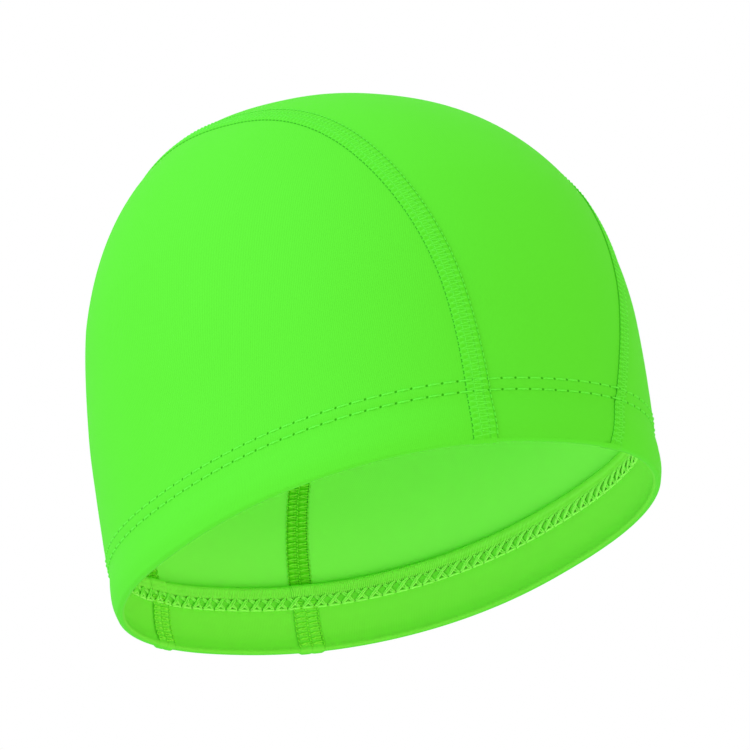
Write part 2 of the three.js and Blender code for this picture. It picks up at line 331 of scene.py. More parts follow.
def add_piece(name, points, squares, maps, material, slot, replaced=(), weld=False, crisp=0.7):
    """Adds a closed piece to the cap. maps gives each UV map's values at the points. A map that counts
    round the rim is unrolled where a face crosses from the last stitch to the first."""
    if volume_of(points, squares) < 0:
        squares = squares[:, ::-1]
    mesh = bpy.data.meshes.new(name)
    mesh.vertices.add(len(points))
    mesh.vertices.foreach_set("co", (points - HEAD_SEAT).ravel())
    mesh.loops.add(squares.size)
    mesh.loops.foreach_set("vertex_index", squares.ravel())
    mesh.polygons.add(len(squares))
    mesh.polygons.foreach_set("loop_start", np.arange(0, squares.size, 4))
    mesh.update(calc_edges=True)
    for map_name, values in maps.items():
        corners = values.reshape(-1, 2)[squares]
        if map_name == "hem_rows":
            round_rim = corners[..., 0]
            last = round_rim.max(axis=1, keepdims=True)
            corners[..., 0] += STITCH_COUNT * (last - round_rim > STITCH_COUNT / 2)
        mesh.uv_layers.new(name=map_name).data.foreach_set("uv", corners.ravel())
    if weld:
        form = bmesh.new()
        form.from_mesh(mesh)
        bmesh.ops.remove_doubles(form, verts=form.verts, dist=1e-6)
        form.to_mesh(mesh)
        form.free()
    mesh.validate()
    mesh.polygons.foreach_set("use_smooth", np.ones(len(mesh.polygons), bool))
    mesh.set_sharp_from_angle(angle=crisp)
    mesh.materials.append(material)
    piece = bpy.data.objects.new(name, mesh)
    bpy.context.scene.collection.objects.link(piece)
    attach(piece, "root")
    if replaced:
        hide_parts(*replaced)
    return piece


def new_material(name):
    """Material with a node tree that holds one shader, ready to be linked up."""
    material = bpy.data.materials.new(name)
    material.use_nodes = True
    tree = material.node_tree
    return material, tree, tree.nodes["Principled BSDF"]


def maths(tree, operation, *inputs):
    """Output of a Math node whose inputs are numbers or other nodes' outputs."""
    node = tree.nodes.new("ShaderNodeMath")
    node.operation = operation
    for socket, value in zip(node.inputs, inputs):
        if isinstance(value, (int, float)):
            socket.default_value = value
        else:
            tree.links.new(value, socket)
    return node.outputs[0]


def times(tree, first, second):
    """Output of a Math node that multiplies two values."""
    return maths(tree, "MULTIPLY", first, second)


def map_parts(tree, map_name):
    """The two values of a UV map."""
    source = tree.nodes.new("ShaderNodeUVMap")
    source.uv_map = map_name
    parts = tree.nodes.new("ShaderNodeSeparateXYZ")
    tree.links.new(source.outputs[0], parts.inputs[0])
    return parts.outputs[0], parts.outputs[1]


def mixed_colour(tree, share, first, second):
    """Mix of two colours, each a linear RGB triple or another node's output, by a share."""
    node = tree.nodes.new("ShaderNodeMix")
    node.data_type = "RGBA"
    tree.links.new(share, node.inputs[0])
    for socket, colour in ((node.inputs[6], first), (node.inputs[7], second)):
        if isinstance(colour, tuple):
            socket.default_value = (*colour, 1)
        else:
            tree.links.new(colour, socket)
    return node.outputs[2]


def eased_share(tree, value, start, end):
    """Share of the way of a value from start to end, eased at both and held beyond them."""
    node = tree.nodes.new("ShaderNodeMapRange")
    node.interpolation_type = "SMOOTHSTEP"
    tree.links.new(value, node.inputs["Value"])
    node.inputs["From Min"].default_value = start
    node.inputs["From Max"].default_value = end
    return node.outputs[0]


def from_nearest_whole(tree, value):
    """How far a value is from the nearest whole number."""
    return maths(tree, "ABSOLUTE", maths(tree, "WRAP", value, 0.5, -0.5))


def distance_from(tree, along, away):
    """Distance of a place from a point, by Pythagoras, from how far it is along and away to the side."""
    squares = [times(tree, part, part) for part in (along, away)]
    return maths(tree, "SQRT", maths(tree, "ADD", *squares))


def hem_holes(tree, radius):
    """1 in the hem's needle holes and 0 outside them: a hole lies on each stitch row wherever one stitch
    ends and the next begins. The radius is in stitch lengths."""
    stitches, height = map_parts(tree, "hem_rows")
    along = from_nearest_whole(tree, stitches)
    rows = [maths(tree, "SUBTRACT", height, row / HEM_STITCH) for row in HEM_ROWS]
    away = maths(tree, "MINIMUM", *(maths(tree, "ABSOLUTE", row) for row in rows))
    return eased_share(tree, distance_from(tree, along, away), radius, 0.4 * radius)


def soft_patches(tree, scale):
    """Broad, soft variation over the cloth, about 0.5."""
    place = tree.nodes.new("ShaderNodeTexCoord")
    noise = tree.nodes.new("ShaderNodeTexNoise")
    noise.inputs["Scale"].default_value = scale
    noise.inputs["Detail"].default_value = 3
    tree.links.new(place.outputs["Object"], noise.inputs["Vector"])
    return noise.outputs["Fac"]


def set_shader(tree, shader, colour, height, depth, roughness, sheen):
    """Links a colour and a relief of a given depth in metres to a shader with a soft, dull finish."""
    bump = tree.nodes.new("ShaderNodeBump")
    bump.inputs["Strength"].default_value = 1
    bump.inputs["Distance"].default_value = depth
    tree.links.new(height, bump.inputs["Height"])
    tree.links.new(bump.outputs[0], shader.inputs["Normal"])
    tree.links.new(colour, shader.inputs["Base Color"])
    dull = {"Roughness": roughness, "Specular IOR Level": 0.05}
    soft = {"Sheen Weight": sheen, "Sheen Roughness": 0.5, "Sheen Tint": (0.75, 1.0, 0.6, 1)}
    for socket, value in {**dull, **soft}.items():
        shader.inputs[socket].default_value = value


# The outside knit: the groove colour is darker than the rib colour as painted shade between the ribs
KNIT_RIB_COLOUR = (0.093, 0.645, 0.017)
KNIT_GROOVE_SHADE_COLOUR = (0.087, 0.615, 0.015)
# The cloth's reverse: paler than the outside, partly as the cloth's back and partly as painted light for
# the cap's dim inside; its groove colour is darker as painted shade
REVERSE_RIB_PALE_AND_LIT_COLOUR = (0.300, 0.965, 0.092)
REVERSE_GROOVE_PALE_AND_LIT_COLOUR = (0.290, 0.955, 0.087)
SEAM_SHADOW_COLOUR = (0.045, 0.44, 0.001)
# Needle holes are painted dark as shade in the holes
HEM_HOLE_SHADE_COLOUR = (0.022, 0.34, 0.0)
KNIT_RELIEF = 0.00005

# Radius of the hem's needle holes, and the shadow of the facing's raw edge: how dark it is, and where it
# starts and ends above the edge. All are in stitch lengths.
KNIT_HOLE_RADIUS = 0.105
EDGE_SHADOW = 0.75
EDGE_SHADOW_START = (-0.05, 0.02)
EDGE_SHADOW_END = (0.21, 0.13)


def knit_material(name, lit_reverse_rib, lit_reverse_groove):
    """Stretch knit: rounded ribs across the first value of the knit map, crossed by slanting loops along
    the second, lighter on the ribs and darker between them as painted shade, with the hem's needle holes
    painted dark as shade in them. The cloth's reverse, where the first value of the face map is 1, is
    smoother and paler, partly as the cloth's back and partly as painted light for the cap's dim inside,
    with a painted shadow above the hem's raw edge. The second value of the face map is a share of painted
    seam shadow."""
    material, tree, shader = new_material(name)
    across, along = map_parts(tree, "knit")
    reverse, seam_shade = map_parts(tree, "face")
    ribs = maths(tree, "SINE", times(tree, across, np.pi))
    rib = maths(tree, "ABSOLUTE", ribs)
    slant = from_nearest_whole(tree, across)
    loops = maths(tree, "ADD", along, slant)
    loop = maths(tree, "SINE", times(tree, loops, 2 * np.pi))
    looped = maths(tree, "MULTIPLY_ADD", loop, 0.12, 0.88)
    height = times(tree, rib, looped)
    patches = maths(tree, "MULTIPLY_ADD", soft_patches(tree, 30.0), 0.5, -0.25)
    shade = maths(tree, "ADD", eased_share(tree, height, 0.0, 0.7), patches)
    outside = mixed_colour(tree, shade, KNIT_GROOVE_SHADE_COLOUR, KNIT_RIB_COLOUR)
    # The reverse's colours are paler partly as painted light for the cap's dim inside
    inside = mixed_colour(tree, shade, lit_reverse_groove, lit_reverse_rib)
    cloth = mixed_colour(tree, reverse, outside, inside)
    above_rim = map_parts(tree, "hem_rows")[1]
    edge = HEM_HEIGHT / HEM_STITCH
    starts = eased_share(tree, above_rim, *(edge + above for above in EDGE_SHADOW_START))
    ends = eased_share(tree, above_rim, *(edge + above for above in EDGE_SHADOW_END))
    shaded = times(tree, times(tree, ends, reverse), starts)
    shadow = maths(tree, "MAXIMUM", seam_shade, times(tree, shaded, EDGE_SHADOW))
    cloth = mixed_colour(tree, shadow, cloth, SEAM_SHADOW_COLOUR)
    # The hem's needle holes are painted dark as shade in them
    hole = hem_holes(tree, KNIT_HOLE_RADIUS)
    colour = mixed_colour(tree, hole, cloth, HEM_HOLE_SHADE_COLOUR)
    calm = times(tree, height, maths(tree, "MULTIPLY_ADD", reverse, -0.6, 1.0))
    holed = maths(tree, "SUBTRACT", calm, times(tree, hole, 3.0))
    set_shader(tree, shader, colour, holed, KNIT_RELIEF, roughness=0.75, sheen=0.015)
    return material


panel_knit = knit_material("panel_knit", REVERSE_RIB_PALE_AND_LIT_COLOUR, REVERSE_GROOVE_PALE_AND_LIT_COLOUR)


def side_panel(side):
    """Grid of points on the outer face: columns climb from the rim to the seam and, near the front and
    back, move along the seam faster than along the rim. Rows crowd towards the rim."""
    share = np.linspace(0, 1, SIDE_COLUMNS)[:, None]
    up = np.linspace(0, 1, SIDE_ROWS)[None, :] ** RIM_CROWDING

    def seam_point(turn):
        return face_over_head(turn, beside_seam(side, turn, TUCK_UNDER_SEAM))

    front, back = line_feet(seam_point, FOOT_HEIGHT)
    top = seam_point(mix(front, back, share))
    top_angle = side * plan_angle(top)
    slow_share = (1 - np.cos(share * np.pi)) / 2
    foot_angle = mix(top_angle[0], top_angle[-1], mix(slow_share, share, RIB_FOLLOW))
    top_rise = np.arctan2(top[..., 2], np.hypot(top[..., 0], top[..., 1]))
    climb = top_rise - rise_to_height(side * top_angle, FOOT_HEIGHT)
    angle = side * mix(foot_angle, top_angle, up)
    return face_towards(angle, rise_to_height(angle, FOOT_HEIGHT) + climb * up)


def add_panel(name, node, face, ribs, loops):
    """Adds a panel of knit over a grid of points on the outer face, with its knit map."""
    outer = under_face(face, -cloth_relief(face))
    inner = under_face(face, FABRIC)
    knit = np.stack([ribs / RIB_PITCH, loops / LOOP_PITCH], -1).reshape(-1, 2)
    hem = hem_places(face).reshape(-1, 2)
    faces = np.repeat([[0.0, 0.0], [1.0, 0.0]], len(knit), axis=0)
    maps = {"knit": np.tile(knit, (2, 1)), "hem_rows": np.tile(hem, (2, 1)), "face": faces}
    return add_piece(name, *closed_wall(outer, inner), maps, panel_knit, "panel_knit", (node,), weld=True)


for side, name in ((-1, "side_panel_left"), (1, "side_panel_right")):
    face = side_panel(side)
    ribs = np.broadcast_to(lengths_along(face[:, 0])[:, None], face.shape[:2])
    add_panel(name + "_knit", name, face, ribs, lengths_along(face))

# Centre panel
# The strip of the same knit that runs from the front of the rim over the crown to the back, between the
# two flat seams. Its ribs run along it.
CENTRE_COLUMNS = 88
CENTRE_ROWS = 400

# Width of the flat seams, and how much more of it there is at their front and back ends, by side
SEAM_WIDTH = 0.0066
SEAM_FLARE = 0.0014
SEAM_FLARES = {-1: (SEAM_FLARE, SEAM_FLARE), 1: (-0.0006, SEAM_FLARE)}
SEAM_FLARE_REACH = 0.45
FRONT_FOOT_TURN = np.radians(-10)
BACK_FOOT_TURN = np.radians(222)


def seam_width(side, turn):
    """Width of one side's flat seam at turns over the head, with a bell curve at each of its ends."""
    at_front, at_back = SEAM_FLARES[side]
    front = at_front * bell(turn - FRONT_FOOT_TURN, SEAM_FLARE_REACH)
    back = at_back * bell(turn - BACK_FOOT_TURN, SEAM_FLARE_REACH)
    return SEAM_WIDTH + front + back


def centre_panel():
    """Grid of points on the outer face: rows run across from seam to seam, from the front foot to the back,
    and each line along the panel starts and ends at its own foot on the rim."""
    across = np.linspace(0, 1, CENTRE_COLUMNS)[None, :]

    def edge_at(side, turn):
        return beside_seam(side, turn, seam_width(side, turn) - TUCK_UNDER_SEAM)

    def point_at(turn):
        return face_over_head(turn, mix(edge_at(-1, turn), edge_at(1, turn), across))

    front, back = line_feet(point_at, FOOT_HEIGHT)
    return point_at(mix(front, back, np.linspace(0, 1, CENTRE_ROWS)[:, None]))


face = centre_panel()
ribs = np.broadcast_to(lengths_along(face[CENTRE_ROWS // 2]), face.shape[:2])
loops = np.swapaxes(lengths_along(np.swapaxes(face, 0, 1)), 0, 1)
add_panel("centre_panel_knit", "centre_panel", face, ribs, loops)

# Flat seams
# The raised band where a side panel and the centre panel lie edge over edge, sewn down by rows of
# needles. The needle thread pits it in rows, and threads cross it from side to side, outside and in.
SEAM_PROUD = 0.00045
SEAM_PROUD_INSIDE = 0.00035
SEAM_EDGE_SINK = 0.0003
SEAM_SHOULDER = 0.0011
SHOULDER_START = 0.3
SEAM_OVERHANG = 0.0003
SEAM_STITCH = 0.0019
NEEDLE_ROWS = 4
NEEDLE_PIT = 0.00024
NEEDLE_PIT_REACH = 0.00042
PIT_ROWS = np.array([1.0, 0.15, 0.15, 0.5])
RUNG_RISE = 0.00004
BAND_COLUMNS = 30
BAND_ROWS = 860

# Places on the seam, as shares of its width: the rims and cores of the pits' painted shade, the grooves
# along the rows, and the painted shadow lines of its inside
PIT_RIM = 0.075
PIT_CORE = 0.03
PIT_NARROWNESS = 0.55
GROOVE_RIM = 0.06
GROOVE_CORE = 0.02
SHADED_LINES = (-0.02, 0.5, 1.02)
SHADED_LINE_REACH = 0.07

SEAM_HOLE_RADIUS = 0.085
SEAM_RELIEF = 0.00008
# The needle pits and row grooves are painted this dark colour as shade
NEEDLE_PIT_SHADE_COLOUR = (0.012, 0.25, 0.0)
SEAM_COLOUR = (0.094, 0.665, 0.017)
SEAM_SHADE_COLOUR = (0.066, 0.54, 0.007)
# The seam's inside colours are paler, partly as its back and partly as painted light for the cap's dim
# inside
SEAM_INSIDE_LIT_COLOUR = (0.170, 0.75, 0.013)
SEAM_INSIDE_LIT_SHADE_COLOUR = (0.100, 0.58, 0.004)


class SeamLine:
    """One side's seam as a surface: share of the way from the rim's front to its back, and share across
    from its outer side. Each line along it starts and ends at its own foot on the rim."""

    def __init__(self, side):
        self.side = side
        self.across_rows = np.linspace(-0.15, 1.15, 14)
        self.front, self.back = line_feet(lambda turn: self.point(turn, self.across_rows), FOOT_HEIGHT)
        self.shares = np.linspace(0, 1, 1201)
        travelled = lengths_along(self.face(self.shares, np.full(1201, 0.5)))
        self.stitches = round(travelled[-1] / SEAM_STITCH)
        self.travelled = travelled / travelled[-1] * self.stitches

    def point(self, turn, across):
        """Points of the outer face at turns over the head and shares across."""
        inset = across * seam_width(self.side, turn)
        return face_over_head(turn, beside_seam(self.side, turn, inset))

    def face(self, share, across):
        """Points of the outer face at shares along and across."""
        front = np.interp(across, self.across_rows, self.front)
        back = np.interp(across, self.across_rows, self.back)
        return self.point(mix(front, back, share), across)

    def share_of(self, stitch):
        """Share of the way along at which a stitch lies."""
        return np.interp(stitch, self.travelled, self.shares)

    def stitch_of(self, share):
        """Stitches from the front foot at a share of the way along."""
        return np.interp(share, self.shares, self.travelled)


def band_rise(across, proud, stitch):
    """How far a band stands out of the panels: up a rounded side, level across, down the other side,
    with a pit at every needle and shallow rungs between them."""
    from_edge = np.minimum(across, 1 - across) * SEAM_WIDTH
    edge = np.clip(from_edge / SEAM_SHOULDER + SHOULDER_START, 0, 1)
    rise = mix(-SEAM_EDGE_SINK, proud, np.sin(edge * QUARTER))
    row = across * (NEEDLE_ROWS - 1)
    off_row = (row - np.round(row)) * SEAM_WIDTH / (NEEDLE_ROWS - 1)
    off_needle = (stitch - np.round(stitch)) * SEAM_STITCH
    depth = PIT_ROWS[np.clip(np.round(row), 0, NEEDLE_ROWS - 1).astype(int)]
    pit = depth * np.exp(-(off_row**2 + off_needle**2) / NEEDLE_PIT_REACH**2)
    rung = RUNG_RISE * np.cos(4 * np.pi * stitch) * np.sin(np.pi * np.clip(across, 0, 1))
    return rise - NEEDLE_PIT * pit + rung


def seam_material(name):
    """Threads packed like a fine net, light along its threads and darker in its meshes as painted shade:
    between two rows of needles is one slanting mesh to a stitch, half a stitch on from the last column's.
    A groove along each row deepens towards the centre panel. The needle pits and the grooves are painted
    dark as shade, the pits most in the row on the side panel's edge. The inside, where the first value of
    the face map is 1, is paler, partly as the seam's back and partly as painted light for the cap's dim
    inside, and the second value is the share of its painted shadow lines."""
    material, tree, shader = new_material(name)
    reverse, line_shade = map_parts(tree, "face")
    stitch, across = map_parts(tree, "stitches")
    row = times(tree, across, NEEDLE_ROWS - 1.0)
    slanted = maths(tree, "MULTIPLY_ADD", across, 0.6, stitch)
    stepped = maths(tree, "MULTIPLY_ADD", maths(tree, "FLOOR", row), 0.5, slanted)
    rungs = maths(tree, "SINE", times(tree, stepped, np.pi))
    columns = maths(tree, "SINE", times(tree, row, np.pi))
    net = maths(tree, "ABSOLUTE", times(tree, rungs, columns))
    weave = maths(tree, "MULTIPLY_ADD", net, -0.7, 0.85)

    stitch_share = PIT_NARROWNESS * SEAM_STITCH / SEAM_WIDTH
    along = times(tree, from_nearest_whole(tree, stitch), stitch_share)
    away = times(tree, from_nearest_whole(tree, row), 1 / (NEEDLE_ROWS - 1))
    pit = eased_share(tree, distance_from(tree, along, away), PIT_RIM, PIT_CORE)
    first_pit, middle_pit, _, last_pit = PIT_ROWS
    first_row = eased_share(tree, across, 0.25, 0.10)
    last_row = eased_share(tree, across, 0.80, 0.92)
    weight = maths(tree, "MULTIPLY_ADD", first_row, first_pit - middle_pit, middle_pit)
    weight = maths(tree, "MAXIMUM", weight, times(tree, last_row, last_pit))
    deep = maths(tree, "MULTIPLY_ADD", eased_share(tree, across, 0.45, 0.9), 0.4, 0.1)
    groove = times(tree, eased_share(tree, away, GROOVE_RIM, GROOVE_CORE), deep)
    pit = maths(tree, "MAXIMUM", times(tree, pit, weight), groove)

    patches = times(tree, soft_patches(tree, 400.0), 0.3)
    shade = maths(tree, "ADD", weave, patches)
    outside = mixed_colour(tree, shade, SEAM_SHADE_COLOUR, SEAM_COLOUR)
    inside = mixed_colour(tree, shade, SEAM_INSIDE_LIT_SHADE_COLOUR, SEAM_INSIDE_LIT_COLOUR)
    cloth = mixed_colour(tree, reverse, outside, inside)
    # Painted shadow lines, then painted shade in the needle pits, the row grooves and the hem's holes
    cloth = mixed_colour(tree, line_shade, cloth, SEAM_SHADOW_COLOUR)
    cloth = mixed_colour(tree, pit, cloth, NEEDLE_PIT_SHADE_COLOUR)
    cloth = mixed_colour(tree, hem_holes(tree, SEAM_HOLE_RADIUS), cloth, HEM_HOLE_SHADE_COLOUR)
    height = maths(tree, "SUBTRACT", weave, pit)
    set_shader(tree, shader, cloth, height, SEAM_RELIEF, roughness=0.75, sheen=0.03)
    return material


seam_cloth = seam_material("seam_cloth")


def add_band(name, node, line):
    """Adds a seam's band: a closed strip whose sides sink into the panels it joins, with a faint painted
    shadow on its first edge outside and painted shadow lines inside."""
    overhang = SEAM_OVERHANG / SEAM_WIDTH
    share = np.linspace(0, 1, BAND_ROWS)[:, None]
    across = np.linspace(-overhang, 1 + overhang, BAND_COLUMNS)[None, :]
    share, across = np.broadcast_arrays(share, across)
    face = line.face(share, across)
    stitch = line.stitch_of(share)
    outer = under_face(face, -band_rise(across, SEAM_PROUD, stitch) - cloth_relief(face))
    inner = under_face(face, FABRIC + band_rise(across, SEAM_PROUD_INSIDE, stitch + 0.5))
    stitches = np.stack([stitch, across], -1).reshape(-1, 2)
    hem = hem_places(face).reshape(-1, 2)
    # Face map's second value: a faint painted shadow along the outside's first edge, and painted shadow
    # lines inside at the seam's edges and middle
    edge = 0.2 * bell(across + 0.03, 0.05).ravel()
    dark = 0.8 * sum(bell(across - line_at, SHADED_LINE_REACH) for line_at in SHADED_LINES).ravel()
    outside = np.stack([np.zeros(edge.shape), edge], -1)
    inside = np.stack([np.ones(dark.shape), dark], -1)
    maps = {"stitches": np.tile(stitches, (2, 1)), "hem_rows": np.tile(hem, (2, 1))}
    maps["face"] = np.clip(np.concatenate([outside, inside]), 0, 1)
    return add_piece(name, *closed_wall(outer, inner), maps, seam_cloth, "seam_thread", (node,))


seam_lines = {"seam_left": SeamLine(-1), "seam_right": SeamLine(1)}
for name, line in seam_lines.items():
    add_band(name + "_band", name, line)

# Seam threads
# Needle thread runs along each row on the outside in short stitches that dive into the cloth at both
# ends, and a finer cover thread crosses from edge to edge. Inside, looped thread fills two columns.
NEEDLE_THREAD = 0.00018
COVER_THREAD = 0.00019
LOOP_THREAD = 0.00030
NEEDLE_DIVE = 0.00022
COVER_DIVE = 0.0002
RUNG_ARCH = 0.00026
THREAD_SINK = 0.00008
THREAD_SIDES = 6
THREAD_TIP = 0.12
TWIST_RADII = 6
STRAND_RELIEF = 0.00005

# Colours of each thread on the backs of its strands and, darker as painted shade, between them
THREAD_COLOURS = {
    "thread_outside": ((0.125, 0.78, 0.034), (0.104, 0.70, 0.024)),
    # The threads inside the cap are much paler than the one outside: lighter than the cloth as thread, and
    # lightened further as painted light for the cap's dim inside
    "thread_inside_lit": ((0.36, 0.99, 0.10), (0.29, 0.96, 0.07)),
    "thread_ladder_lit": ((0.290, 0.93, 0.045), (0.180, 0.77, 0.015)),
    "thread_overlock_lit": ((0.310, 0.94, 0.075), (0.240, 0.87, 0.045)),
}


def thread_material(name, colour, shade_colour):
    """Plied thread: strands wind round it, lighter on their backs and darker between them as painted shade.
    """
    material, tree, shader = new_material(name)
    along, around = map_parts(tree, "thread")
    wound = times(tree, maths(tree, "ADD", along, around), 2 * np.pi)
    strand = maths(tree, "SINE", wound)
    height = maths(tree, "MULTIPLY_ADD", strand, 0.5, 0.5)
    patches = maths(tree, "MULTIPLY_ADD", soft_patches(tree, 300.0), 0.8, -0.3)
    cloth = mixed_colour(tree, maths(tree, "ADD", height, patches), shade_colour, colour)
    set_shader(tree, shader, cloth, height, STRAND_RELIEF, roughness=0.65, sheen=0.05)
    return material


threads = {name: thread_material(name, *colours) for name, colours in THREAD_COLOURS.items()}


def thread_tubes(centres, outward, radius):
    """Joined threads, each a tube round its row of centre points: a ring point is its centre plus the
    radius times a turn between the outward way and the way across. Both ends pinch and are closed. The
    third value maps the points: twists of the strands along a thread, and turns round it."""
    count, rings = centres.shape[:2]
    ahead = unit(np.gradient(centres, axis=1))
    across = unit(np.cross(ahead, outward))
    out = unit(np.cross(across, ahead))
    pinch = np.sqrt(np.clip(np.sin(np.linspace(THREAD_TIP, np.pi - THREAD_TIP, rings)) * 1.6, 0, 1))
    around = np.linspace(0, 2 * np.pi, THREAD_SIDES, endpoint=False)
    turn = np.cos(around)[:, None] * out[:, :, None] + np.sin(around)[:, None] * across[:, :, None]
    points = centres[:, :, None] + radius * pinch[:, None, None] * turn
    index = np.arange(count * rings * THREAD_SIDES).reshape(count, rings, THREAD_SIDES)
    beside = np.roll(index, -1, axis=2)
    sides = [index[:, :-1], beside[:, :-1], beside[:, 1:], index[:, 1:]]
    walls = np.stack(sides, -1).reshape(-1, 4)
    start, end = index[:, 0], index[:, -1, ::-1]
    caps = [ring[:, corners] for ring in (start, end) for corners in ([3, 2, 1, 0], [5, 4, 3, 0])]
    faces = np.concatenate([walls, *caps])
    along = lengths_along(centres)[:, :, None] / (TWIST_RADII * radius)
    winding = np.stack(np.broadcast_arrays(along, around / (2 * np.pi)), -1)
    return points.reshape(-1, 3), faces, winding.reshape(-1, 2)


def add_threads(name, material, groups):
    """Adds threads as one piece. Each group is centre points, outward ways and a radius."""
    parts = [thread_tubes(*group) for group in groups]
    starts = np.cumsum([0] + [len(points) for points, _, _ in parts[:-1]])
    points = np.concatenate([points for points, _, _ in parts])
    faces = np.concatenate([faces + start for (_, faces, _), start in zip(parts, starts)])
    winding = np.concatenate([winding for _, _, winding in parts])
    return add_piece(name, points, faces, {"thread": winding}, material, "seam_thread", crisp=1.2)


def threads_on_seam(line, stitch, across, lift, depth=None):
    """Centre points and outward ways of threads laid on a seam, at stitches along it, shares across it
    and lifts off its outer side, or off a side that faces inwards at a depth under the outer face."""
    stitch, across, lift = np.broadcast_arrays(stitch, across, lift)
    share = line.share_of(stitch)
    face = line.face(share, across)
    normal = face_normal(face)
    if depth is None:
        return under_face(face, -SEAM_PROUD - lift - cloth_relief(face)), normal
    return under_face(face, depth + lift), -normal


def seam_threads_outside(line):
    """Needle threads along the rows, apart from the open holes of the outer one, which dive in at their
    ends like a sine's half wave, and the fine cover thread that zigzags over them."""
    whole = np.arange(1, line.stitches - 1)[:, None]
    step = np.linspace(0.13, 0.87, 6)
    dive = NEEDLE_DIVE * (np.sin(step * np.pi) - 1.0)
    groups = []
    for row in np.linspace(0.03, 0.97, NEEDLE_ROWS)[1:]:
        groups.append((*threads_on_seam(line, whole + step, row, dive), NEEDLE_THREAD))
    way = np.linspace(0, 1, 9)
    over = -THREAD_SINK - COVER_DIVE * (np.abs(2 * way - 1) ** 8)
    for start, across in ((0.0, mix(0.02, 0.98, way)), (0.5, mix(0.98, 0.02, way))):
        groups.append((*threads_on_seam(line, whole + start + 0.5 * way, across, over), COVER_THREAD))
    return groups


def seam_threads_inside(line, whole, depth):
    """Two columns of rungs that arch like a sine's half wave, two to a stitch and every other one thinner,
    with a loop at each stitch's ends."""
    way = np.linspace(0, 1, 7)
    arch = RUNG_ARCH * np.sin(way * np.pi) - THREAD_SINK
    groups = []
    for start, end in ((0.02, 0.46), (0.54, 0.98)):
        rung = threads_on_seam(line, whole + 0.3 * way, mix(start, end, way), arch, depth)
        groups.append((*rung, LOOP_THREAD))
        between = threads_on_seam(line, whole + 0.55 - 0.25 * way, mix(start, end, way), 0.6 * arch, depth)
        groups.append((*between, COVER_THREAD))
        for edge, bulge in ((start, -0.05), (end, 0.05)):
            around = edge + bulge * np.sin(way * np.pi)
            loop = threads_on_seam(line, whole + 0.85 * way, around, 0.5 * arch, depth)
            groups.append((*loop, COVER_THREAD))
    return groups


for name, line in seam_lines.items():
    add_threads(name + "_stitches", threads["thread_outside"], seam_threads_outside(line))
    rungs = np.arange(1, line.stitches - 1)[:, None]
    ladder = seam_threads_inside(line, rungs, FABRIC + SEAM_PROUD_INSIDE)
    add_threads(name + "_ladder", threads["thread_ladder_lit"], ladder)

# Hem facing
# The foot of the cloth folded inwards round the rim and laid up against the inside of the panels. Its
# raw edge is bound in overlock thread, and the seams' ends show on it as low bands.
RAW_EDGE_HEIGHT = 0.0032
RAW_EDGE_THICKNESS = 0.0016
FACING_ANGLES = 1100
FOLD_STEPS = 11
FACING_STEPS = 44
EDGE_STEPS = 7
SEAM_BUMP = 0.0005
RIM_BUMP = 0.00035
FLARED_SEAM = SEAM_WIDTH + SEAM_FLARE
SEAM_END_SHADE = 0.5
RIM_SHADE = 0.25
# The facing's inner side: paler than the outside, partly as the cloth's back and partly as painted light
# for the cap's dim inside; its groove colour is darker as painted shade
FACING_RIB_PALE_AND_LIT_COLOUR = (0.212, 0.81, 0.045)
FACING_GROOVE_PALE_AND_LIT_COLOUR = (0.202, 0.79, 0.041)
hem_knit = knit_material("hem_knit", FACING_RIB_PALE_AND_LIT_COLOUR, FACING_GROOVE_PALE_AND_LIT_COLOUR)

FACING_BACK = FABRIC + FACING_CLEARANCE
FACING_FRONT = FACING_BACK + FABRIC


def smooth_step(value, start, end):
    """Share of the way from start to end, eased at both and held beyond them."""
    t = np.clip((value - start) / (end - start), 0, 1)
    return t * t * (3 - 2 * t)


def facing_outline():
    """Depth and height of the facing's outline: half round the fold, up its inner side, over the thicker
    raw edge and down its back."""
    turn = np.linspace(0, np.pi, FOLD_STEPS)
    fold = np.stack([FOLD_RADIUS * (1 - np.cos(turn)), FOLD_RADIUS * (1 - np.sin(turn))], -1)
    edge_foot = HEM_HEIGHT - RAW_EDGE_HEIGHT
    climb = np.linspace(FOLD_RADIUS, edge_foot, FACING_STEPS)[1:]
    front = np.stack([np.full(climb.shape, FACING_FRONT), climb], -1)
    over = np.linspace(0.12, np.pi - 0.35, EDGE_STEPS)
    middle = FACING_BACK + RAW_EDGE_THICKNESS / 2
    edge_depth = middle + RAW_EDGE_THICKNESS / 2 * np.cos(over)
    edge = np.stack([edge_depth, edge_foot + RAW_EDGE_HEIGHT * np.sin(over / 2)], -1)
    fall = np.linspace(edge_foot, FOLD_RADIUS, 8)
    back = np.stack([np.full(fall.shape, FACING_BACK), fall], -1)
    return np.concatenate([fold, front, edge, back])


def seam_ends(face):
    """How much of a seam band lies at places of the facing, 0 to 1, and how much of its painted shadow
    lines. A seam goes on over the facing in line with its part above."""
    bands, lines = 0, 0
    for side in (-1, 1):
        across = seam_inset(face, side) / FLARED_SEAM
        bands = bands + smooth_step(across, -0.08, 0.08) * smooth_step(across, 1.08, 0.92)
        lines = lines + sum(bell(across - line_at, 0.055) for line_at in SHADED_LINES)
    return bands, lines


